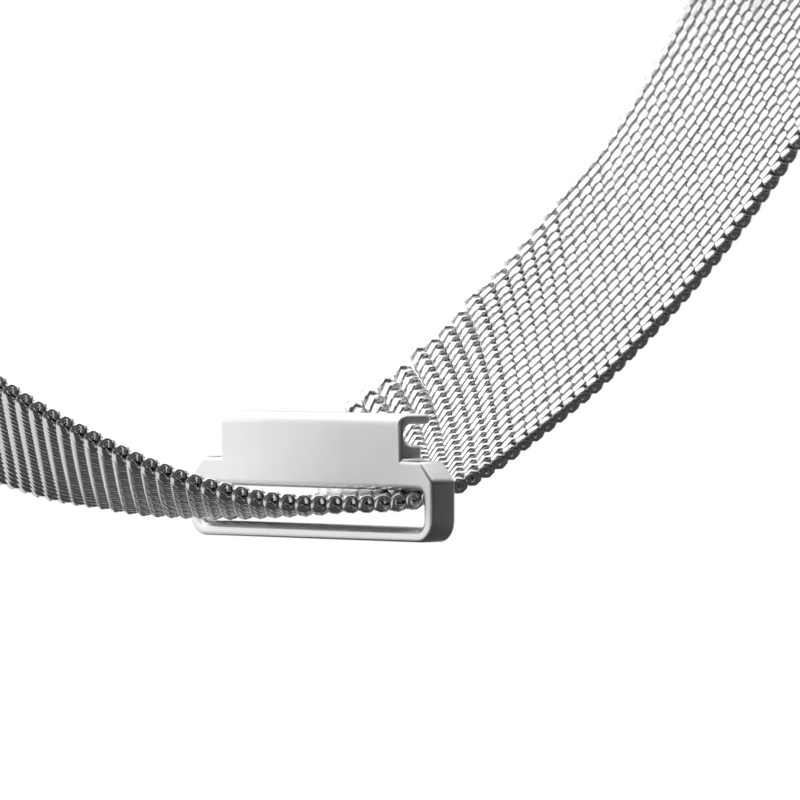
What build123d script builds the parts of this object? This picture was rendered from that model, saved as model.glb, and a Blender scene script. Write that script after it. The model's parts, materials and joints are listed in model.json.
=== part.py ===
"""A woven steel watch band, threaded through the slot of its hook buckle.

The band is a chain of mesh rows. Each row is the solid outline of one flattened wire spiral, as wide
as the band, and it is held by its neighbours. The rows stand along a path that starts in the
buckle's slot: an upper arm that curls round to the end lug, and a free arm that ends in a magnet tab.

Millimetres. The origin is the middle of the buckle's slot. +X runs along the slot, +Y goes through
the slot to the wearer's side, and +Z points from the slot to the buckle's hook.
"""

from build123d import *
import os
from math import cos, sin, radians

os.makedirs("parts", exist_ok=True)

# Band
band_width = 17.2
band_thickness = 1.2
row_pitch = 1.08
row_length = 0.78
row_crown = 0.2
row_crown_length = 0.34
rows_each_side_of_slot = 8
rows_per_link = 8
upper_links = 12
free_links = 6

# How the near edge of the band runs, seen square on: the plane of that edge is turned from the
# slot's own line, and each zone gives a count of rows, then degrees of turn, roll and swing per row.
# Past these zones each arm curls about its own rows, which slide back in line as it goes.
edge_plane_turn = 50.5
lift_in_slot = -0.1
roll_in_slot = 2.0
upper_zones = [
    (3, 0.0, 1.2, 0.0),
    (2, 1.5, 2.2, 0.2),
    (4, 6.0, 5.8, 0.6),
    (4, 3.2, 2.9, 1.0),
    (8, 0.5, 0.1, 0.3),
    (18, 0.7, 0.3, 0.4),
    (8, 0.0, 0.0, 0.0),
]
free_zones = [
    (4, 2.4, 0.9, 0.0),
    (4, 1.8, 0.8, 0.0),
    (6, 1.8, 1.0, -0.1),
    (12, 0.8, 0.9, -0.1),
]
upper_curl = 2.6
free_curl = 1.0
slide_kept_share = 0.85

# Buckle
slot_length = 24.4
slot_height = 2.5
slot_corner_radius = 0.5
slot_edge_radius = 0.5
bar_height = 1.0
leg_width = 1.05
frame_depth = 2.2
shoulder_height = 2.0
shoulder_bevel = 1.3
foot_radius = 1.5

# Hook channel, on the buckle and on the end lug
hook_width = 19.7
hook_rise = 3.2
hook_depth = 2.85
hook_wall = 0.5
hook_nose_radius = 0.8
lip_height = 0.7
mouth_height = 1.4
ledge_depth = 2.05

# Ends of the band
end_row_radius = 0.7
end_row_gap = 0.24
pin_radius = 0.35
pin_clearance = 0.03
side_clearance = 0.15
cheek_width = 0.9
cheek_radius = 0.95
cheek_rounding_share = 0.9
face_clearance = 0.2

# End lug
lug_neck_length = 2.6
lug_thickness = 1.9

# Magnet tab
tab_length = 12.5
tab_thickness = 3.4
tab_corner_radius = 2.2
tab_wall = 0.6
tab_end_wall = 1.0
cover_thickness = 0.5
cover_clearance = 0.05
keeper_thickness = 0.4
magnet_count = 3
magnet_gap = 0.3
inner_clearance = 0.05

cut_overrun = 1.0


def save(part, name):
    """Labels a finished piece and writes it under its own name."""
    part.label = name
    export_step(part, f"parts/{name}.step")


# Path of the band
across_picture = Vector(cos(radians(edge_plane_turn)), sin(radians(edge_plane_turn)), 0)
into_picture = Vector(-sin(radians(edge_plane_turn)), cos(radians(edge_plane_turn)), 0)
upwards = Vector(0, 0, 1)


def row_direction(roll, swing):
    """Unit vector along a row, from the band's near edge to its far edge."""
    level = into_picture * cos(radians(swing)) - across_picture * sin(radians(swing))
    return level * cos(radians(roll)) + upwards * sin(radians(roll))


def edge_direction(heading):
    """Unit vector along the band's near edge, towards the upper arm."""
    return across_picture * cos(radians(heading)) + upwards * sin(radians(heading))


def row_plane(near, along, travel):
    """Plane through a row's middle, square to the row, with x along the band and y outwards."""
    forward = (travel - along * travel.dot(along)).normalized()
    return Plane(origin=near + along * (band_width / 2), x_dir=forward, z_dir=along)


def walk(zones, curl_rows, curl, way):
    """Planes of an arm's rows, stepped out from the slot: first the zones, then the curl."""
    heading, roll, swing = 0.0, roll_in_slot, 0.0
    along = row_direction(roll, swing)
    near = along * (-band_width / 2) + upwards * lift_in_slot
    planes = [row_plane(near, along, edge_direction(heading))]
    for count, turn, roll_step, swing_step in zones:
        for _ in range(count):
            near = near + edge_direction(heading + way * turn / 2) * (way * row_pitch)
            heading += way * turn
            roll += way * roll_step
            swing += swing_step
            along = row_direction(roll, swing)
            planes.append(row_plane(near, along, edge_direction(heading)))
    forward = planes[-1].x_dir
    slide = along * edge_direction(heading).dot(along)
    for _ in range(curl_rows):
        middle_way = forward.rotate(Axis((0, 0, 0), along), -curl / 2)
        forward = forward.rotate(Axis((0, 0, 0), along), -curl)
        slide = slide * slide_kept_share
        near = near + (middle_way + slide) * (way * row_pitch)
        planes.append(row_plane(near, along, forward))
    return planes


def rows_in(zones):
    """Count of rows in an arm's zones."""
    return sum(zone[0] for zone in zones)


slot_rows = range(-rows_each_side_of_slot, rows_each_side_of_slot + 1)
upper_rows = rows_each_side_of_slot + upper_links * rows_per_link
free_rows = rows_each_side_of_slot + free_links * rows_per_link
upper_walk = walk(upper_zones, upper_rows - rows_in(upper_zones), upper_curl, 1)
free_walk = walk(free_zones, free_rows - rows_in(free_zones), -free_curl, -1)


def plane_of(number):
    """Plane of a row by its number: 0 in the slot, positive on the upper arm."""
    return upper_walk[number] if number >= 0 else free_walk[-number]


# Mesh rows
def row_outline(place):
    """Section of one row: flat sides, with a low crown on the band's two faces."""
    half, edge, top = row_length / 2, band_thickness / 2 - row_crown, band_thickness / 2
    flat = row_crown_length / 2
    with BuildSketch(place) as outline:
        with BuildLine():
            Polyline(
                (half, -edge), (half, edge), (flat, top), (-flat, top),
                (-half, edge), (-half, -edge), (-flat, -top), (flat, -top), close=True,
            )
        make_face()
    return outline.sketch


def mesh_link(name, numbers):
    """A run of rows, each its own solid, that bends as one piece here."""
    with BuildPart() as link:
        for number in numbers:
            extrude(row_outline(plane_of(number)), amount=band_width / 2, both=True)
    save(link.part, name)


mesh_link("mesh_in_slot", slot_rows)
for link_number in range(upper_links):
    first_row = rows_each_side_of_slot + 1 + link_number * rows_per_link
    mesh_link(f"mesh_upper_{link_number + 1:02d}", range(first_row, first_row + rows_per_link))
for link_number in range(free_links):
    first_row = rows_each_side_of_slot + 1 + link_number * rows_per_link
    mesh_link(f"mesh_free_{link_number + 1:02d}", range(-first_row - rows_per_link + 1, -first_row + 1))


# Hook channel
def hook_section(place):
    """Section of the hook: x is depth from the outer face, y is the rise from the hook's foot."""
    mouth_floor = hook_rise - lip_height - mouth_height
    with BuildSketch(place) as section:
        with BuildLine():
            back = Line((ledge_depth, -hook_wall), (0, -hook_wall))
            face = Line(back @ 1, (0, hook_rise - hook_nose_radius))
            nose = RadiusArc(face @ 1, (hook_nose_radius, hook_rise), hook_nose_radius)
            top = Line(nose @ 1, (hook_depth - lip_height / 2, hook_rise))
            tip_end = (hook_depth - lip_height / 2, hook_rise - lip_height)
            tip = ThreePointArc(top @ 1, (hook_depth, hook_rise - lip_height / 2), tip_end)
            under = Line(tip @ 1, (hook_wall + mouth_height / 2, hook_rise - lip_height))
            throat_end = (hook_wall + mouth_height / 2, mouth_floor)
            throat = ThreePointArc(under @ 1, (hook_wall, mouth_floor + mouth_height / 2), throat_end)
            ledge = Line(throat @ 1, (ledge_depth, mouth_floor))
            Line(ledge @ 1, back @ 0)
        make_face()
    return section.sketch


# Buckle
frame_front = -frame_depth / 2
slot_top = slot_height / 2
shoulder_top = slot_top + shoulder_height
frame_bottom = -slot_top - bar_height
frame_width = slot_length + 2 * leg_width
frame_height = shoulder_top - frame_bottom
frame_middle = (shoulder_top + frame_bottom) / 2

with BuildPart() as buckle:
    with BuildSketch(Plane.XZ):
        with Locations((0, frame_middle)):
            Rectangle(frame_width, frame_height)
    extrude(amount=frame_depth / 2, both=True)
    corners = buckle.edges().filter_by(Axis.Y).group_by(Axis.Z)
    fillet(corners[0], radius=foot_radius)
    corners = buckle.edges().filter_by(Axis.Y).filter_by(GeomType.LINE).group_by(Axis.Z)
    chamfer(corners[-1], length=shoulder_bevel)
    hook_place = Plane(origin=(0, frame_front, shoulder_top), x_dir=(0, 1, 0), z_dir=(1, 0, 0))
    extrude(hook_section(hook_place), amount=hook_width / 2, both=True)
    with BuildSketch(Plane.XZ):
        RectangleRounded(slot_length, slot_height, slot_corner_radius)
    extrude(amount=frame_depth / 2 + cut_overrun, both=True, mode=Mode.SUBTRACT)
    slot_rims = [rim for face in buckle.faces().filter_by(Axis.Y) for rim in face.inner_wires()]
    fillet([edge for rim in slot_rims for edge in rim.edges()], radius=slot_edge_radius)
save(buckle.part, "buckle")


# Ends of the band
end_step = row_length / 2 + end_row_gap + end_row_radius
cheek_inside = band_width / 2 + side_clearance
cheek_outside = cheek_inside + cheek_width


def end_plane(number, way):
    """Plane at a band's end pin: x points away from the band and z to the wearer's side."""
    last = plane_of(number)
    return Plane(origin=last.origin + last.x_dir * (way * end_step), x_dir=last.x_dir * way, z_dir=-last.y_dir)


def pin_plane(place):
    """Plane across the pin, with z along it."""
    return Plane(origin=place.origin, x_dir=place.x_dir, z_dir=place.y_dir)


def end_row(place, name):
    """The rolled last row, which turns on the pin."""
    with BuildPart() as row:
        with BuildSketch(pin_plane(place)):
            Circle(end_row_radius)
            Circle(pin_radius + pin_clearance, mode=Mode.SUBTRACT)
        extrude(amount=band_width / 2, both=True)
    save(row.part, name)


def end_pin(place, name):
    """The pin, flush with the outer faces of the two cheeks."""
    with BuildPart() as pin:
        with BuildSketch(pin_plane(place)):
            Circle(pin_radius)
        extrude(amount=cheek_outside, both=True)
    save(pin.part, name)


lug_place = end_plane(upper_rows, 1)
tab_place = end_plane(-free_rows, -1)
end_row(lug_place, "lug_end_row")
end_pin(lug_place, "lug_pin")
end_row(tab_place, "tab_end_row")
end_pin(tab_place, "tab_pin")


# End lug
neck_start = end_row_radius + face_clearance
lug_outer = -lug_thickness / 2

with BuildPart() as end_lug:
    with BuildSketch(lug_place.offset(lug_outer)):
        with Locations(((neck_start + lug_neck_length) / 2, 0)):
            Rectangle(lug_neck_length - neck_start, 2 * cheek_outside)
        with Locations((neck_start / 2, 0)):
            Rectangle(neck_start, 2 * cheek_outside)
            Rectangle(neck_start, 2 * cheek_inside, mode=Mode.SUBTRACT)
        with Locations((-cheek_radius / 2, 0)):
            Rectangle(cheek_radius, 2 * cheek_outside)
            Rectangle(cheek_radius, 2 * cheek_inside, mode=Mode.SUBTRACT)
    extrude(amount=lug_thickness)
    fillet(end_lug.edges().filter_by(Axis(lug_place.origin, lug_place.y_dir)).group_by(
        Axis(lug_place.origin, lug_place.x_dir))[0], radius=cheek_radius * cheek_rounding_share)
    lug_hook_place = Plane(
        origin=lug_place.origin + lug_place.x_dir * lug_neck_length + lug_place.z_dir * lug_outer,
        x_dir=lug_place.z_dir,
        z_dir=lug_place.y_dir,
    )
    extrude(hook_section(lug_hook_place), amount=hook_width / 2, both=True)
    with BuildSketch(pin_plane(lug_place)):
        Circle(pin_radius + pin_clearance)
    extrude(amount=cheek_outside + cut_overrun, both=True, mode=Mode.SUBTRACT)
save(end_lug.part, "end_lug")


# Magnet tab
case_start = end_row_radius + face_clearance
case_length = tab_length - case_start
case_width = 2 * cheek_outside
contact_side = -tab_thickness / 2
cavity_length = case_length - 2 * tab_end_wall
cavity_width = case_width - 2 * tab_end_wall
cavity_middle = case_start + case_length / 2
cavity_depth = tab_thickness - tab_wall

with BuildPart() as tab_case:
    with BuildSketch(tab_place.offset(contact_side)) as tab_outline:
        with Locations((cavity_middle, 0)):
            Rectangle(case_length, case_width)
        with Locations(((case_start - cheek_radius) / 2, 0)):
            Rectangle(case_start + cheek_radius, case_width)
            Rectangle(case_start + cheek_radius, 2 * cheek_inside, mode=Mode.SUBTRACT)
    extrude(amount=tab_thickness)
    tab_up = Axis(tab_place.origin, tab_place.z_dir)
    tab_out = Axis(tab_place.origin, tab_place.x_dir)
    tab_across = Axis(tab_place.origin, tab_place.y_dir)
    fillet(tab_case.edges().filter_by(tab_up).group_by(tab_out)[-1], radius=tab_corner_radius)
    fillet(tab_case.edges().filter_by(tab_across).group_by(tab_out)[0], radius=cheek_radius * cheek_rounding_share)
    with BuildSketch(tab_place.offset(contact_side)):
        with Locations((cavity_middle, 0)):
            RectangleRounded(cavity_length, cavity_width, tab_corner_radius - tab_end_wall)
    extrude(amount=cavity_depth, mode=Mode.SUBTRACT)
    with BuildSketch(pin_plane(tab_place)):
        Circle(pin_radius + pin_clearance)
    extrude(amount=cheek_outside + cut_overrun, both=True, mode=Mode.SUBTRACT)
save(tab_case.part, "tab_case")

with BuildPart() as tab_back_plate:
    with BuildSketch(tab_place.offset(contact_side)):
        with Locations((cavity_middle, 0)):
            RectangleRounded(
                cavity_length - 2 * cover_clearance,
                cavity_width - 2 * cover_clearance,
                tab_corner_radius - tab_end_wall - cover_clearance,
            )
    extrude(amount=cover_thickness)
save(tab_back_plate.part, "tab_back_plate")

keeper_floor = contact_side + cavity_depth - inner_clearance - keeper_thickness
keeper_length = cavity_length - 2 * inner_clearance
keeper_width = cavity_width - 2 * inner_clearance
keeper_corner = tab_corner_radius - tab_end_wall - inner_clearance
with BuildPart() as keeper_plate:
    with BuildSketch(tab_place.offset(keeper_floor)):
        with Locations((cavity_middle, 0)):
            RectangleRounded(keeper_length, keeper_width, keeper_corner)
    extrude(amount=keeper_thickness)
save(keeper_plate.part, "keeper_plate")

magnet_floor = contact_side + cover_thickness + inner_clearance
magnet_height = keeper_floor - inner_clearance - magnet_floor
magnet_length = cavity_length - 2 * keeper_corner
magnet_width = (cavity_width - 2 * keeper_corner - (magnet_count - 1) * magnet_gap) / magnet_count
for magnet_number in range(magnet_count):
    magnet_offset = (magnet_number - (magnet_count - 1) / 2) * (magnet_width + magnet_gap)
    with BuildPart() as magnet:
        with BuildSketch(tab_place.offset(magnet_floor)):
            with Locations((cavity_middle, magnet_offset)):
                Rectangle(magnet_length, magnet_width)
        extrude(amount=magnet_height)
    save(magnet.part, f"magnet_{magnet_number + 1}")
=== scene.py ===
# %% [markdown]
# # A woven steel watch band
#
# The real object is a flexible ribbon of steel wire. Hundreds of small turns of wire hook through
# each other, row by row, and the ribbon runs through the slot of a solid steel buckle. This lesson
# dresses a measured frame of that band. Where each row and each solid piece lies is read from the
# frame. What the frame lacks, such as the section of the wire, the softness of an edge and the bend
# of the mesh across its width, is a named real size below.

import json
from math import cos, radians, sin, tau

import bpy
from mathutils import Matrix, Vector


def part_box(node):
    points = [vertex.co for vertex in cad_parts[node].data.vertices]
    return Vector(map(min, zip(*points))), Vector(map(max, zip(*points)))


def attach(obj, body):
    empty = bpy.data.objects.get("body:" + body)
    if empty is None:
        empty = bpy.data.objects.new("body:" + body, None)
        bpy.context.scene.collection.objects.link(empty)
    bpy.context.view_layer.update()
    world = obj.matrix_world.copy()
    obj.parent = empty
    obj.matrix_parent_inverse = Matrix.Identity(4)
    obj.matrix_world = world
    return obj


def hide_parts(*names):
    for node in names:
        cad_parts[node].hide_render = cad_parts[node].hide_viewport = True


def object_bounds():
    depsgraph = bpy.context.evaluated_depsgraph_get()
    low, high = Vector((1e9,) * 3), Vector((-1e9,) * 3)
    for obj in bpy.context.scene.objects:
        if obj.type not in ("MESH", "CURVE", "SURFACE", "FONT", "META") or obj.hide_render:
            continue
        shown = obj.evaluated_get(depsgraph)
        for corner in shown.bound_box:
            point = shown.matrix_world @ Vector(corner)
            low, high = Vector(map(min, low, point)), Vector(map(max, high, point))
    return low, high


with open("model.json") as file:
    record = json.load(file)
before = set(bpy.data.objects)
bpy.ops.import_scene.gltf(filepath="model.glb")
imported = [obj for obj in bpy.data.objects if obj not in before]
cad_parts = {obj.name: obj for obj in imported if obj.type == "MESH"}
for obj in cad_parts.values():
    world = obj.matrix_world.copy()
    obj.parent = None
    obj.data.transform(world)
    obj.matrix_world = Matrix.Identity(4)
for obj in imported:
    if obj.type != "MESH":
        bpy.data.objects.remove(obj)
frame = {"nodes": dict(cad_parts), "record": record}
cad_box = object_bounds()
MM = 0.001

# %% [markdown]
# ## The camera
#
# The band is seen from the right of the buckle's front, almost level, through a long lens. A long
# lens keeps the near and the far edge of the ribbon at nearly the same scale. The camera is placed by
# the angle it looks from, and aimed at a point a few millimetres from the middle of the slot.

# %% Camera
VIEW_TURN = radians(50.5)
VIEW_RISE = radians(0.8)
VIEW_DISTANCE = 600 * MM
FIELD_WIDTH = 55.2 * MM
AIM_RIGHT = 5.45 * MM
AIM_UP = 7.3 * MM
NEAREST_SEEN = 10 * MM
SENSOR_WIDTH = 36

picture_right = Vector((cos(VIEW_TURN), sin(VIEW_TURN), 0))
to_camera = Vector((sin(VIEW_TURN) * cos(VIEW_RISE), -cos(VIEW_TURN) * cos(VIEW_RISE), sin(VIEW_RISE)))
picture_up = to_camera.cross(picture_right)

lens = bpy.data.cameras.new("camera")
lens.sensor_width = SENSOR_WIDTH
lens.lens = SENSOR_WIDTH * VIEW_DISTANCE / FIELD_WIDTH
lens.clip_start = NEAREST_SEEN
camera = bpy.data.objects.new("camera", lens)
bpy.context.collection.objects.link(camera)
camera.location = picture_right * AIM_RIGHT + picture_up * AIM_UP + to_camera * VIEW_DISTANCE
camera.rotation_euler = to_camera.to_track_quat("Z", "Y").to_euler()
bpy.context.scene.camera = camera
print("lens", round(lens.lens, 1), "mm")

# %% [markdown]
# ## Small helpers for node trees
#
# Materials and Geometry Nodes are both trees of nodes joined by links. Writing each link out would
# bury the idea of a tree under its plumbing, so a few short helpers come first. One adds a node and
# fills its sockets, one adds a Math node, and two name sums that come back often.


# %% Node helpers
def add_node(tree, kind, values=None, **settings):
    """Adds a node, sets its own settings, and fills input sockets given by name or place."""
    node = tree.nodes.new(kind)
    for name, value in settings.items():
        setattr(node, name, value)
    for name, value in (values or {}).items():
        if isinstance(value, bpy.types.NodeSocket):
            tree.links.new(value, node.inputs[name])
        else:
            node.inputs[name].default_value = value
    return node


def maths(tree, operation, *values):
    """One Math node on sockets or plain numbers, and gives its output."""
    return add_node(tree, "ShaderNodeMath", dict(enumerate(values)), operation=operation).outputs[0]


def times(tree, first, second):
    """The product of two sockets or numbers."""
    return maths(tree, "MULTIPLY", first, second)


def rest_of_one(tree, value):
    """What a value leaves of one."""
    return maths(tree, "SUBTRACT", 1.0, value)


# %% [markdown]
# ## Shared surface effects
#
# Two effects show on more than one steel part, so each is a node group. Grain is the fine lines that
# a satin belt or a drawing die leaves along one direction, and it drives both roughness and bump.
# Handling marks are the soft cloudy patches of a touched surface. Both are made of noise, because
# real grain and real marks have no pattern that repeats.


# %% Node groups
NOISE_MIDDLE = 0.5


def new_group(name, inputs, outputs):
    """A shader node group with named float inputs and outputs."""
    group = bpy.data.node_groups.new(name, "ShaderNodeTree")
    for label, value in inputs:
        socket = group.interface.new_socket(label, in_out="INPUT", socket_type="NodeSocketFloat")
        socket.default_value = value
    for label in outputs:
        group.interface.new_socket(label, in_out="OUTPUT", socket_type="NodeSocketFloat")
    return group, group.nodes.new("NodeGroupInput"), group.nodes.new("NodeGroupOutput")


def make_grain_group():
    """Fine lines along X of the object, with a height and a roughness change."""
    group, given, result = new_group(
        "belt_grain",
        [("Lines per metre", 9000.0), ("Stretch", 40.0), ("Roughness", 0.25), ("Change", 0.1)],
        ["Roughness", "Height"])
    place = add_node(group, "ShaderNodeTexCoord").outputs["Object"]
    shrink = maths(group, "DIVIDE", 1.0, given.outputs["Stretch"])
    scale = add_node(group, "ShaderNodeCombineXYZ", {"X": shrink, "Y": 1.0, "Z": 1.0}).outputs[0]
    stretched = add_node(group, "ShaderNodeVectorMath", {0: place, 1: scale}, operation="MULTIPLY")
    noise = add_node(group, "ShaderNodeTexNoise", {
        "Vector": stretched.outputs[0], "Scale": given.outputs["Lines per metre"], "Detail": 3.0})
    height = noise.outputs["Fac"]
    centred = maths(group, "SUBTRACT", height, NOISE_MIDDLE)
    roughness = maths(group, "MULTIPLY_ADD", centred, given.outputs["Change"], given.outputs["Roughness"])
    group.links.new(roughness, result.inputs["Roughness"])
    group.links.new(height, result.inputs["Height"])
    return group


def make_marks_group():
    """Soft patches of handling, as a mask from 0 to the amount."""
    group, given, result = new_group("handling_marks", [("Size per metre", 220.0), ("Amount", 0.5)], ["Mask"])
    place = add_node(group, "ShaderNodeTexCoord").outputs["Object"]
    noise = add_node(group, "ShaderNodeTexNoise", {
        "Vector": place, "Scale": given.outputs["Size per metre"], "Detail": 5.0, "Roughness": 0.6})
    spread = add_node(group, "ShaderNodeMapRange", {
        "Value": noise.outputs["Fac"], "From Min": 0.4, "From Max": 0.7, "To Min": 0.0,
        "To Max": given.outputs["Amount"]})
    group.links.new(spread.outputs[0], result.inputs["Mask"])
    return group


grain_group = make_grain_group()
marks_group = make_marks_group()
print("groups", grain_group.name, marks_group.name)

# %% [markdown]
# ## The metals
#
# Everything is bare steel, so one function makes each metal from its own colour, roughness and grain.
# Drawn wire is bright and smooth. The buckle, the lug and the tab are satin with softly polished
# edges. The pins are polished, and the inner pieces that are hardly seen are plain.


# %% Metal materials
HANDLED_SHADE = 0.86


def steel(name, colour, roughness, lines, stretch, change, bump, marks):
    """A bare metal with grain in its roughness and bump, and cloudy handling marks in its colour."""
    material = bpy.data.materials.new(name)
    material.use_nodes = True
    tree = material.node_tree
    shader = tree.nodes["Principled BSDF"]
    shader.inputs["Metallic"].default_value = 1.0
    grain = add_node(tree, "ShaderNodeGroup", node_tree=grain_group)
    for label, value in (("Lines per metre", lines), ("Stretch", stretch), ("Roughness", roughness),
                         ("Change", change)):
        grain.inputs[label].default_value = value
    mask = add_node(tree, "ShaderNodeGroup", node_tree=marks_group)
    mask.inputs["Amount"].default_value = marks
    tint = add_node(tree, "ShaderNodeMix", data_type="RGBA")
    tint.inputs["A"].default_value = (*colour, 1)
    tint.inputs["B"].default_value = (*(channel * HANDLED_SHADE for channel in colour), 1)
    tree.links.new(mask.outputs["Mask"], tint.inputs["Factor"])
    tree.links.new(tint.outputs["Result"], shader.inputs["Base Color"])
    tree.links.new(grain.outputs["Roughness"], shader.inputs["Roughness"])
    bend = add_node(tree, "ShaderNodeBump", {"Height": grain.outputs["Height"], "Distance": bump})
    tree.links.new(bend.outputs["Normal"], shader.inputs["Normal"])
    return material


wire_steel = steel(
    "drawn_wire", (0.90, 0.90, 0.91), roughness=0.22,
    lines=4000.0, stretch=1.0, change=0.1, bump=0.002 * MM, marks=0.4)
satin_steel = steel(
    "satin_steel", (0.82, 0.82, 0.83), roughness=0.34,
    lines=14000.0, stretch=30.0, change=0.1, bump=0.0006 * MM, marks=0.3)
pin_steel = steel(
    "polished_pin", (0.72, 0.72, 0.73), roughness=0.12,
    lines=6000.0, stretch=1.0, change=0.05, bump=0.001 * MM, marks=0.2)
keeper_iron = steel(
    "rolled_iron", (0.40, 0.40, 0.42), roughness=0.45,
    lines=5000.0, stretch=8.0, change=0.2, bump=0.006 * MM, marks=0.8)
magnet_plating = steel(
    "nickel_plate", (0.66, 0.65, 0.62), roughness=0.16,
    lines=3000.0, stretch=1.0, change=0.08, bump=0.002 * MM, marks=0.4)
print("metals", wire_steel.name, satin_steel.name, pin_steel.name, keeper_iron.name, magnet_plating.name)

# %% [markdown]
# ## Where each row of wire lies
#
# In the frame a row is one closed bar. Its ends give the row's length and direction, and the next bar
# gives the direction of the band. Reading them from the frame, instead of repeating a path here, means
# that the wires always lie where the measured rows lie.


# %% Bars of a node
SAME_POINT_DECIMALS = 3


def bars_of(node_name):
    """The separate closed bars of a node, each as a list of its corner points."""
    mesh = frame["nodes"][node_name].data
    keys = [tuple(round(value / MM, SAME_POINT_DECIMALS) for value in vertex.co) for vertex in mesh.vertices]
    leader = {key: key for key in keys}

    def root(key):
        while leader[key] != key:
            leader[key] = leader[leader[key]]
            key = leader[key]
        return key

    for polygon in mesh.polygons:
        first = root(keys[polygon.vertices[0]])
        for index in polygon.vertices[1:]:
            leader[root(keys[index])] = first
    bars = {}
    for key in leader:
        bars.setdefault(root(key), []).append(Vector(key) * MM)
    return list(bars.values())


def bar_axis(corners):
    """Middle and half-length vector of a bar, from the two groups of corners at its ends."""
    middle = sum(corners, Vector()) / len(corners)
    tip = max(corners, key=lambda corner: (corner - middle).length)
    near_tip = [corner for corner in corners if (corner - middle).dot(tip - middle) > 0]
    far_tip = [corner for corner in corners if (corner - middle).dot(tip - middle) <= 0]
    end = sum(near_tip, Vector()) / len(near_tip)
    start = sum(far_tip, Vector()) / len(far_tip)
    return (start + end) / 2, (end - start) / 2


# %% Read the rows
def read_rows(node_name, start, across):
    """Rows of a node as (middle, half vector), ordered by distance from a point, all one way round."""
    rows = [bar_axis(bar) for bar in bars_of(node_name)]
    rows.sort(key=lambda row: (row[0] - start).length)
    turned = []
    for middle, half in rows:
        if half.dot(across) < 0:
            half = -half
        turned.append((middle, half))
        across = half
    return turned


def read_arm(prefix, first_row):
    """Rows of each link of an arm, from the slot outwards."""
    links = {}
    last = first_row
    for name in sorted(node for node in frame["nodes"] if node.startswith(prefix)):
        links[name] = read_rows(name, *last)
        last = links[name][-1]
    return links


into_picture = -to_camera
slot_start = Vector(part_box("mesh_free_01")[0])
slot_rows = read_rows("mesh_in_slot", slot_start, into_picture)
upper_links = read_arm("mesh_upper_", slot_rows[-1])
free_links = read_arm("mesh_free_", slot_rows[0])
chain = [(name, *row) for name, rows in reversed(free_links.items()) for row in reversed(rows)]
chain += [("mesh_in_slot", *row) for row in slot_rows]
chain += [(name, *row) for name, rows in upper_links.items() for row in rows]
half_row = chain[0][2].length
print("rows", len(chain), "band width", round(2 * half_row / MM, 2), "mm")

# %% [markdown]
# ## A row of wire
#
# One row is a flattened spiral: a helix squeezed to an oval, whose turns lean over. The lean matters.
# Each turn has to pass between two turns of the next row, and with every row cut alike at the edge,
# that only works if a turn leans by half its spacing on each side. This also gives the real look: on
# the inner face the wires run almost along the band, and on the outer face they cross it at a slant.
#
# The inner side of a turn is a broad arch, made by raising its swing to a power and cutting it off at
# the top, and then it is ground level, as a band is rolled and polished on the side that shows. The
# outer side stays a rounder arch. Towards a rim the arches fall back to a plain turn, which is
# narrower and of thicker wire, so that the rims are rows of closed beads.
#
# All of this is one formula on many places, so it is a Geometry Nodes tree. The spiral is made once,
# on a straight line, and then set on a point for each row.

# %% Sizes of the wire
WIRE_RADIUS = 0.3 * MM
TURN_STEP = 0.76 * MM
HALF_WIDTH = 0.58 * MM
LEAN = TURN_STEP / (2 * HALF_WIDTH)
INNER_HEIGHT = 0.5 * MM
OUTER_HEIGHT = 0.34 * MM
ARCH_POWER = 3.0
ARCH_GAIN = 1.4
OUTER_POWER = 2.2
GROUND_HEIGHT = 0.6 * MM
RIM_SWELL = 0.15
RIM_PINCH = 0.5
STEPS_PER_TURN = 12
WIRE_SIDES = 12
MIDDLE_SHARE = 0.5
LEVEL_FACING = 0.995
BEND_POWER = 3.0


# %% Inputs of the tree
def name_inputs(tree):
    """Names the sizes that the tree takes, and gives the sockets of its input node."""
    face = tree.interface
    face.new_socket("Geometry", in_out="INPUT", socket_type="NodeSocketGeometry")
    for label in ("Half width", "Inner height", "Outer height", "Arch power", "Arch gain", "Outer power",
                  "Ground height", "Turn step", "Lean", "Wire radius", "Rim swell", "Rim pinch",
                  "Half length"):
        face.new_socket(label, in_out="INPUT", socket_type="NodeSocketFloat")
    for label in ("Steps per turn", "Wire sides"):
        face.new_socket(label, in_out="INPUT", socket_type="NodeSocketInt")
    face.new_socket("Material", in_out="INPUT", socket_type="NodeSocketMaterial")
    face.new_socket("Geometry", in_out="OUTPUT", socket_type="NodeSocketGeometry")
    return tree.nodes.new("NodeGroupInput").outputs


# %% Middle line of the wire
def only_inside(tree, inside, value):
    """A value inside the band that falls back to 1 at a rim."""
    return maths(tree, "MULTIPLY_ADD", inside, maths(tree, "SUBTRACT", value, 1.0), 1.0)


def turn_depth(tree, given, angle, inside):
    """How far the wire lies from the row's middle at an angle of its turn: below 0 on the inner face."""
    swing = maths(tree, "SINE", angle)
    inner_swing = maths(tree, "MAXIMUM", swing, 0.0)
    inner_power = only_inside(tree, inside, given["Arch power"])
    raised = maths(tree, "POWER", inner_swing, inner_power)
    broadened = times(tree, raised, only_inside(tree, inside, given["Arch gain"]))
    inner_depth = times(tree, maths(tree, "MINIMUM", broadened, 1.0), given["Inner height"])
    outer_swing = maths(tree, "ABSOLUTE", maths(tree, "MINIMUM", swing, 0.0))
    outer_power = only_inside(tree, inside, given["Outer power"])
    outer_depth = times(tree, maths(tree, "POWER", outer_swing, outer_power), given["Outer height"])
    return maths(tree, "SUBTRACT", outer_depth, inner_depth)


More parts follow.
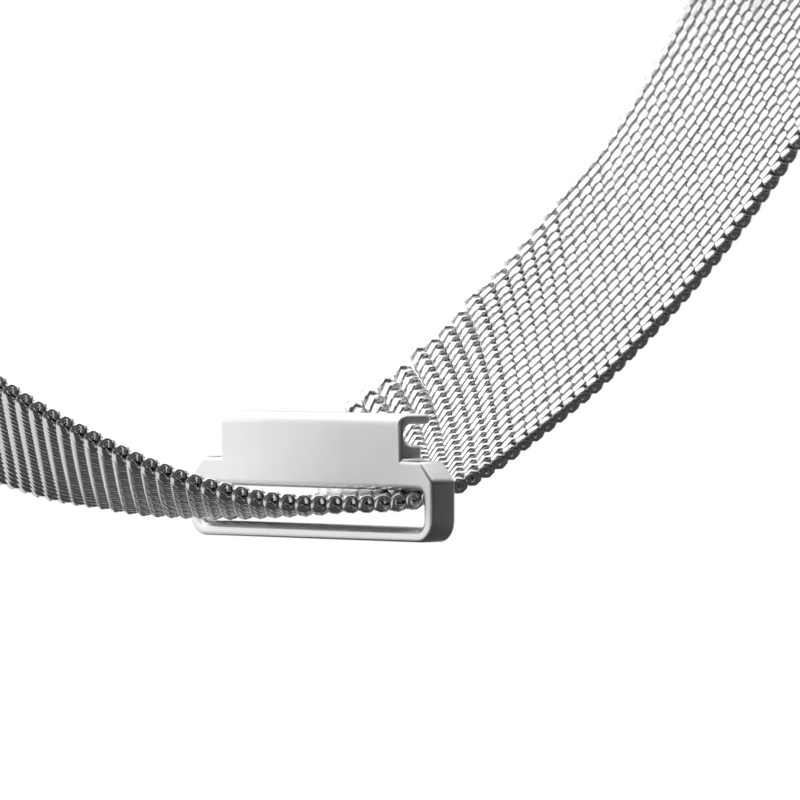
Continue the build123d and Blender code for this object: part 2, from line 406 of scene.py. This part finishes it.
def spiral_line(tree, given):
    """The wire's middle line along Z as a curve, and how close each of its points is to a rim."""
    reach = maths(tree, "SUBTRACT", given["Half length"], given["Wire radius"])
    travel = maths(tree, "MULTIPLY_ADD", reach, 2.0, given["Turn step"])
    turns = maths(tree, "DIVIDE", travel, given["Turn step"])
    count = maths(tree, "MULTIPLY_ADD", turns, given["Steps per turn"], 1.0)
    line = add_node(tree, "GeometryNodeCurvePrimitiveLine", {"End": (0, 0, 1)})
    points = add_node(tree, "GeometryNodeResampleCurve", {"Curve": line.outputs[0], "Count": count})
    share = add_node(tree, "GeometryNodeSplineParameter").outputs["Factor"]
    angle = times(tree, times(tree, share, turns), tau)
    nearer_end = maths(tree, "MINIMUM", share, rest_of_one(tree, share))
    at_rim = maths(tree, "MAXIMUM", rest_of_one(tree, times(tree, nearer_end, turns)), 0.0)
    pinched = rest_of_one(tree, times(tree, at_rim, given["Rim pinch"]))
    side = times(tree, maths(tree, "COSINE", angle), times(tree, given["Half width"], pinched))
    depth = turn_depth(tree, given, angle, rest_of_one(tree, at_rim))
    along = times(tree, maths(tree, "SUBTRACT", share, MIDDLE_SHARE), travel)
    leaning = maths(tree, "MULTIPLY_ADD", side, given["Lean"], along)
    within_reach = maths(tree, "MAXIMUM", maths(tree, "MINIMUM", leaning, reach), times(tree, reach, -1.0))
    place = add_node(tree, "ShaderNodeCombineXYZ", {"X": side, "Y": depth, "Z": within_reach})
    spiral = add_node(tree, "GeometryNodeSetPosition", {
        "Geometry": points.outputs[0], "Position": place.outputs[0]})
    return spiral.outputs[0], at_rim


# %% Wire round the line
def round_wire(tree, given, line, at_rim):
    """Round wire on its middle line, thicker at the rims."""
    swelling = maths(tree, "MULTIPLY_ADD", at_rim, given["Rim swell"], 1.0)
    swollen = add_node(tree, "GeometryNodeSetCurveRadius", {"Curve": line, "Radius": swelling})
    section = add_node(tree, "GeometryNodeCurvePrimitiveCircle", {
        "Resolution": given["Wire sides"], "Radius": given["Wire radius"]})
    wire = add_node(tree, "GeometryNodeCurveToMesh", {
        "Curve": swollen.outputs[0], "Profile Curve": section.outputs[0], "Fill Caps": True})
    return wire.outputs[0]


def grind_inner_side(tree, given, wire):
    """Cuts the wire level on the inner side. Level faces are shaded flat and all others smooth."""
    position = add_node(tree, "GeometryNodeInputPosition").outputs[0]
    here = add_node(tree, "ShaderNodeSeparateXYZ", {0: position}).outputs
    cut_depth = maths(tree, "MAXIMUM", here["Y"], times(tree, given["Ground height"], -1.0))
    cut_place = add_node(tree, "ShaderNodeCombineXYZ", {"X": here["X"], "Y": cut_depth, "Z": here["Z"]})
    ground = add_node(tree, "GeometryNodeSetPosition", {"Geometry": wire, "Position": cut_place.outputs[0]})
    smooth = add_node(tree, "GeometryNodeSetShadeSmooth", {"Geometry": ground.outputs[0]})
    normal = add_node(tree, "GeometryNodeInputNormal").outputs[0]
    facing = add_node(tree, "ShaderNodeSeparateXYZ", {0: normal}).outputs
    is_level = maths(tree, "GREATER_THAN", maths(tree, "ABSOLUTE", facing["Y"]), LEVEL_FACING)
    shaded = add_node(tree, "GeometryNodeSetShadeSmooth", {
        "Geometry": smooth.outputs[0], "Selection": is_level, "Shade Smooth": False})
    return shaded.outputs[0]


def store_far_share(tree, given, wire):
    """Keeps on each point how far along the row it lies, from 0 at the near end to 1 at the far end."""
    position = add_node(tree, "GeometryNodeInputPosition").outputs[0]
    here = add_node(tree, "ShaderNodeSeparateXYZ", {0: position}).outputs
    from_near_end = maths(tree, "ADD", here["Z"], given["Half length"])
    far_share = maths(tree, "DIVIDE", from_near_end, times(tree, given["Half length"], 2.0))
    stored = add_node(
        tree, "GeometryNodeStoreNamedAttribute", {"Geometry": wire, "Name": "far_share", "Value": far_share},
        data_type="FLOAT", domain="POINT")
    return stored.outputs[0]


# %% Rows on points
def read_attribute(tree, name, data_type="FLOAT_VECTOR"):
    """A named attribute of the points."""
    return add_node(tree, "GeometryNodeInputNamedAttribute", {"Name": name}, data_type=data_type).outputs[0]


def rows_on_points(tree, given, row):
    """One row on each point, turned by the point's two directions, as real geometry."""
    turned = add_node(tree, "FunctionNodeAxesToRotation", {
        "Primary Axis": read_attribute(tree, "along"), "Secondary Axis": read_attribute(tree, "travel")},
        primary_axis="Z", secondary_axis="X")
    rows = add_node(tree, "GeometryNodeInstanceOnPoints", {
        "Points": given["Geometry"], "Instance": row, "Rotation": turned.outputs[0]})
    return add_node(tree, "GeometryNodeRealizeInstances", {"Geometry": rows.outputs[0]}).outputs[0]


def bend_row_ends(tree, rows):
    """Draws each row's ends aside by their shifts, which fade out quickly towards its middle."""
    far_part = read_attribute(tree, "far_share", "FLOAT")
    shifts = []
    for label, part in (("near_shift", rest_of_one(tree, far_part)), ("far_shift", far_part)):
        bend = maths(tree, "POWER", maths(tree, "MAXIMUM", part, 0.0), BEND_POWER)
        shift = add_node(
            tree, "ShaderNodeVectorMath", {0: read_attribute(tree, label), "Scale": bend}, operation="SCALE")
        shifts.append(shift.outputs[0])
    both = add_node(tree, "ShaderNodeVectorMath", {0: shifts[0], 1: shifts[1]}, operation="ADD")
    return add_node(tree, "GeometryNodeSetPosition", {"Geometry": rows, "Offset": both.outputs[0]}).outputs[0]


# %% Geometry Nodes tree of the rows
def make_row_tree():
    """Tree that sets a flattened, leaning spiral of wire on each point of a mesh."""
    tree = bpy.data.node_groups.new("spiral_rows", "GeometryNodeTree")
    given = name_inputs(tree)
    line, at_rim = spiral_line(tree, given)
    wire = round_wire(tree, given, line, at_rim)
    row = store_far_share(tree, given, grind_inner_side(tree, given, wire))
    rows = bend_row_ends(tree, rows_on_points(tree, given, row))
    dressed = add_node(tree, "GeometryNodeSetMaterial", {"Geometry": rows, "Material": given["Material"]})
    result = tree.nodes.new("NodeGroupOutput")
    tree.links.new(dressed.outputs[0], result.inputs[0])
    return tree


row_tree = make_row_tree()
print("nodes in the tree of rows", len(row_tree.nodes))


# %% Turn points into wire
def wire_rows(name, places, sizes):
    """A plain mesh of rows. A place is (middle, the row's way, the band's way, near shift, far shift)."""
    mesh = bpy.data.meshes.new(name + "_points")
    mesh.from_pydata([place[0] for place in places], [], [])
    for index, label in enumerate(("along", "travel", "near_shift", "far_shift"), start=1):
        values = mesh.attributes.new(label, "FLOAT_VECTOR", "POINT")
        for vertex, place in enumerate(places):
            values.data[vertex].vector = place[index]
    points = bpy.data.objects.new(name + "_points", mesh)
    bpy.context.collection.objects.link(points)
    modifier = points.modifiers.new("wire", "NODES")
    modifier.node_group = row_tree
    for socket in row_tree.interface.items_tree:
        if socket.in_out == "INPUT" and socket.name in sizes:
            modifier[socket.identifier] = sizes[socket.name]
    bpy.context.view_layer.update()
    evaluated = points.evaluated_get(bpy.context.evaluated_depsgraph_get())
    plain = bpy.data.meshes.new_from_object(evaluated)
    plain.name = name
    piece = bpy.data.objects.new(name, plain)
    bpy.context.collection.objects.link(piece)
    bpy.data.objects.remove(points)
    return piece


band_sizes = {
    "Half width": HALF_WIDTH, "Inner height": INNER_HEIGHT, "Outer height": OUTER_HEIGHT,
    "Arch power": ARCH_POWER, "Arch gain": ARCH_GAIN, "Outer power": OUTER_POWER,
    "Ground height": GROUND_HEIGHT, "Turn step": TURN_STEP, "Lean": LEAN,
    "Wire radius": WIRE_RADIUS, "Rim swell": RIM_SWELL, "Rim pinch": RIM_PINCH,
    "Half length": half_row, "Steps per turn": STEPS_PER_TURN, "Wire sides": WIRE_SIDES,
    "Material": wire_steel,
}
print("turn", round(2 * HALF_WIDTH / MM, 2), "mm wide, one every", round(TURN_STEP / MM, 2), "mm")

# %% [markdown]
# ## The bend across the band
#
# The frame's rows are straight bars, but real mesh is soft. Where the band fans out behind the buckle
# its far edge isn't parallel to its near edge, so there the rows bend. Bent bars cut into each other
# at the joints of the links, so only the wire bends. The shifts are the distances in the picture from
# the ends of the straight rows to the rims of the real band, read at these rows. An entry gives the
# row's number from the slot, how far its near end is raised, and how far its far end is drawn to the
# right and raised, in millimetres. Rows between two entries lie in between.

# %% Shifts of the row ends
RIM_SHIFTS = [
    (-54, 0, 0, 0), (-44, 0.6, 0, -0.8), (-36, 0.8, 0, -1.3), (-24, 0.75, 0, -1.2), (-19, 0.75, 0, -0.9),
    (-15, 0.9, 0, -0.35), (-10, 0.9, 0, -0.1), (-4, 0.8, 0, 0), (0, 0.75, 0, 0), (2, 0.75, -1.45, 1.93),
    (4, 0.75, -2.83, 3.59), (5, 0.75, -3.17, 4.07), (6, 0.75, -2.97, 3.1), (8, 0.75, -2.48, 1.03),
    (10, 0.7, -1.93, -0.28), (12, 0.6, -1.45, -0.9), (14, 0.45, -1.03, -0.9), (16, 0.3, -0.69, -0.35),
    (20, 0, 0, 0.97), (24, 0, 0.14, 1.1), (28, 0, -0.14, 1.38), (32, 0, -0.41, 1.8), (36, 0, -0.83, 2.0),
    (42, 0, -1.17, 2.1), (52, 0, -1.05, 1.9), (64, 0, -0.65, 1.2), (76, 0, -0.2, 0.4), (88, 0, 0, 0),
]


def rim_shifts(row_number):
    """The shift of the near and of the far end of a row."""
    if not RIM_SHIFTS[0][0] < row_number < RIM_SHIFTS[-1][0]:
        return Vector(), Vector()
    after = next(n for n, entry in enumerate(RIM_SHIFTS) if entry[0] >= row_number)
    low, high = RIM_SHIFTS[after - 1], RIM_SHIFTS[after]
    share = (row_number - low[0]) / (high[0] - low[0])
    near_up, far_right, far_up = (low[n] + (high[n] - low[n]) * share for n in (1, 2, 3))
    return picture_up * (near_up * MM), (picture_right * far_right + picture_up * far_up) * MM


print("rows with bent ends", RIM_SHIFTS[-1][0] - RIM_SHIFTS[0][0] - 1)

# %% [markdown]
# ## The woven band
#
# Each link of the frame gets its own mesh of wire rows, so that it can move with its own body. The
# way along the band at a row runs from the row before it to the row after it. A finished piece rides
# on the body of the node that it replaces.

# %% Stand for a node of the frame
body_of_node = {
    node: body for body, nodes in frame["record"]["behaviour"]["bodies"].items() for node in nodes}


def stand_for(piece, node_name):
    """Lets a finished piece move with a node's body and replace the node."""
    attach(piece, body_of_node[node_name])
    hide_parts(node_name)


# %% Weave the band
first_in_slot = next(n for n, entry in enumerate(chain) if entry[0] == "mesh_in_slot")
slot_middle = first_in_slot + len(slot_rows) // 2
places_of = {}
for number, (name, middle, half) in enumerate(chain):
    before = chain[max(number - 1, 0)][1]
    after = chain[min(number + 1, len(chain) - 1)][1]
    shifts = rim_shifts(number - slot_middle)
    place = (middle, half.normalized(), (after - before).normalized(), *shifts)
    places_of.setdefault(name, []).append(place)

band_faces = 0
for name, places in places_of.items():
    woven = wire_rows("wire_" + name, places, band_sizes)
    band_faces += len(woven.data.polygons)
    stand_for(woven, name)
print("faces in the band", band_faces)

# %% [markdown]
# ## The rolled end rows
#
# At each end of the band the last wire is coiled round a pin. It is the same tree with a round turn
# of finer wire, no lean and nothing ground off.

# %% End coils
END_COIL_RADIUS = 0.7 * MM
END_WIRE_RADIUS = 0.16 * MM
END_TURN_STEP = 2.1 * END_WIRE_RADIUS


def coil_on_pin(node_name):
    """A close round coil in place of the plain rolled row."""
    corners = [vertex.co.copy() for vertex in frame["nodes"][node_name].data.vertices]
    middle, half = bar_axis(corners)
    swing = END_COIL_RADIUS - END_WIRE_RADIUS
    sizes = band_sizes | {
        "Half width": swing, "Inner height": swing, "Outer height": swing,
        "Arch power": 1.0, "Arch gain": 1.0, "Outer power": 1.0,
        "Ground height": END_COIL_RADIUS, "Turn step": END_TURN_STEP, "Lean": 0.0,
        "Wire radius": END_WIRE_RADIUS, "Rim swell": 0.0, "Rim pinch": 0.0,
    }
    place = (middle, half.normalized(), half.orthogonal().normalized(), Vector(), Vector())
    coil = wire_rows("wire_" + node_name, [place], sizes)
    stand_for(coil, node_name)
    return coil


for end_row in ("lug_end_row", "tab_end_row"):
    print(end_row, "faces", len(coil_on_pin(end_row).data.polygons))

# %% [markdown]
# ## The solid steel pieces
#
# The frame has their true shape. What it lacks is the soft edge that tumbling and polishing leave, and
# that edge is what catches the light. Each piece is copied from the frame, its loose triangles are
# merged into clean faces, and a narrow bevel rounds every real edge.

# %% Soften the edges of solid pieces
WELD_REACH = 0.002 * MM
SAME_PLANE_ANGLE = radians(1)
REAL_EDGE_ANGLE = radians(35)
EDGE_STEPS = 3


def softened(node_name, softness, metal):
    """A copy of a frame node with merged faces and rounded edges, standing for the node."""
    mesh = frame["nodes"][node_name].data.copy()
    mesh.name = "finished_" + node_name
    piece = bpy.data.objects.new("finished_" + node_name, mesh)
    bpy.context.collection.objects.link(piece)
    mesh.materials.clear()
    mesh.materials.append(metal)
    piece.modifiers.new("weld", "WELD").merge_threshold = WELD_REACH
    flatten = piece.modifiers.new("flatten", "DECIMATE")
    flatten.decimate_type = "DISSOLVE"
    flatten.angle_limit = SAME_PLANE_ANGLE
    bevel = piece.modifiers.new("bevel", "BEVEL")
    bevel.width = softness
    bevel.segments = EDGE_STEPS
    bevel.limit_method = "ANGLE"
    bevel.angle_limit = REAL_EDGE_ANGLE
    bpy.context.view_layer.update()
    evaluated = piece.evaluated_get(bpy.context.evaluated_depsgraph_get())
    piece.modifiers.clear()
    finished = bpy.data.meshes.new_from_object(evaluated)
    piece.data = finished
    for polygon in finished.polygons:
        polygon.use_smooth = True
    piece.modifiers.new("even_normals", "WEIGHTED_NORMAL").keep_sharp = True
    stand_for(piece, node_name)
    return piece


SOLID_PIECES = {
    "buckle": (0.28 * MM, satin_steel), "end_lug": (0.2 * MM, satin_steel),
    "tab_case": (0.2 * MM, satin_steel), "tab_back_plate": (0.05 * MM, satin_steel),
    "keeper_plate": (0.04 * MM, keeper_iron), "lug_pin": (0.05 * MM, pin_steel),
    "tab_pin": (0.05 * MM, pin_steel),
}
MAGNET_SOFTNESS = 0.1 * MM
for name, (softness, metal) in SOLID_PIECES.items():
    print(name, "faces", len(softened(name, softness, metal).data.polygons))
for name in sorted(node for node in frame["nodes"] if node.startswith("magnet_")):
    softened(name, MAGNET_SOFTNESS, magnet_plating)

# %% [markdown]
# ## Studio
#
# Bright metal looks like what it reflects. The picture has a pure white surround, an inner face of the
# band that is almost white, and rims and right-hand sides that are almost black. A pale floor lies
# well below, and the camera sees it as plain white. Between the floor and the band lies a dark card,
# which the camera doesn't see. It keeps the faces that look down dark, as a photographer's flag does.

# %% Floor and card
FLOOR_DROP = 60 * MM
FLOOR_SIZE = 4.0
FLOOR_GREY = 0.9
CARD_DROP = 25 * MM
CARD_LEFT = -30 * MM
CARD_BACK = -50 * MM
CARD_REACH = 700 * MM
CARD_GREY = 0.06
PAPER_ROUGHNESS = 0.9


def level_sheet(name, height, left, back, reach, material):
    """A level sheet for the studio, square to the picture, from a left and a back edge to one reach."""
    corners = []
    for right, forwards in ((left, back), (reach, back), (reach, reach), (left, reach)):
        corner = picture_right * right + to_camera * forwards
        corners.append((corner.x, corner.y, height))
    mesh = bpy.data.meshes.new(name)
    mesh.from_pydata(corners, [], [(0, 1, 2, 3)])
    mesh.materials.append(material)
    sheet = bpy.data.objects.new(name, mesh)
    bpy.context.collection.objects.link(sheet)
    return sheet


def plain_paper(name, grey):
    """Matt paper of one grey."""
    material = bpy.data.materials.new(name)
    material.use_nodes = True
    shader = material.node_tree.nodes["Principled BSDF"]
    shader.inputs["Base Color"].default_value = (grey, grey, grey, 1)
    shader.inputs["Roughness"].default_value = PAPER_ROUGHNESS
    return material


def white_to_camera(material):
    """Lets the camera see a material as plain white, while everything else sees it as it is."""
    tree = material.node_tree
    seen = add_node(tree, "ShaderNodeLightPath").outputs["Is Camera Ray"]
    white = add_node(tree, "ShaderNodeEmission", {"Color": (1, 1, 1, 1), "Strength": 1.0})
    mix = add_node(tree, "ShaderNodeMixShader", {
        0: seen, 1: tree.nodes["Principled BSDF"].outputs[0], 2: white.outputs[0]})
    tree.links.new(mix.outputs[0], tree.nodes["Material Output"].inputs["Surface"])


pale_paper = plain_paper("pale_floor", FLOOR_GREY)
white_to_camera(pale_paper)
half_floor = FLOOR_SIZE / 2
floor = level_sheet("floor", cad_box[0][2] - FLOOR_DROP, -half_floor, -half_floor, half_floor, pale_paper)
dark_paper = plain_paper("dark_paper", CARD_GREY)
card = level_sheet("dark_card", cad_box[0][2] - CARD_DROP, CARD_LEFT, CARD_BACK, CARD_REACH, dark_paper)
card.visible_camera = False
print("sheets", floor.name, card.name)

# %% [markdown]
# ## The light
#
# The light is an even white world, with no lamp: lamps would leave a small hot spot on every turn of
# wire. The world is bright overhead, behind and to the left. It is shaded on the viewer's side, on the
# right, and in a small patch straight behind the band, because the real metal reflects dark there. The
# camera itself sees plain white.

# %% World
SKY_STRENGTH = 1.5
RIGHT_SHADE_DROP = 0.2


def shade_towards(tree, ways, way, starts_at, full_at, darkest):
    """1 away from a direction, and down to a darkest value towards it. The limits are cosines."""
    facing = add_node(tree, "ShaderNodeVectorMath", {0: ways, 1: tuple(way)}, operation="DOT_PRODUCT")
    shade = add_node(
        tree, "ShaderNodeMapRange",
        {"Value": facing.outputs["Value"], "From Min": starts_at, "From Max": full_at,
         "To Min": 1.0, "To Max": darkest},
        interpolation_type="SMOOTHSTEP")
    return shade.outputs[0]


world = bpy.data.worlds.new("studio")
world.use_nodes = True
bpy.context.scene.world = world
sky = world.node_tree
ways = add_node(sky, "ShaderNodeTexCoord").outputs["Generated"]
right_and_down = (picture_right - picture_up * RIGHT_SHADE_DROP).normalized()
viewer_shade = shade_towards(sky, ways, to_camera, starts_at=-0.05, full_at=0.45, darkest=0.05)
right_shade = shade_towards(sky, ways, right_and_down, starts_at=0.25, full_at=0.75, darkest=0.05)
back_shade = shade_towards(sky, ways, into_picture, starts_at=0.93, full_at=0.99, darkest=0.15)
lit = times(sky, times(sky, viewer_shade, right_shade), back_shade)
strength = times(sky, lit, SKY_STRENGTH)
seen = add_node(sky, "ShaderNodeLightPath").outputs["Is Camera Ray"]
final = maths(sky, "MULTIPLY_ADD", strength, rest_of_one(sky, seen), seen)
sky.links.new(final, sky.nodes["Background"].inputs["Strength"])
sky.nodes["Background"].inputs["Color"].default_value = (1, 1, 1, 1)
print("nodes in the world", len(sky.nodes))

# %% Finish
bpy.context.scene.view_settings.view_transform = "Standard"
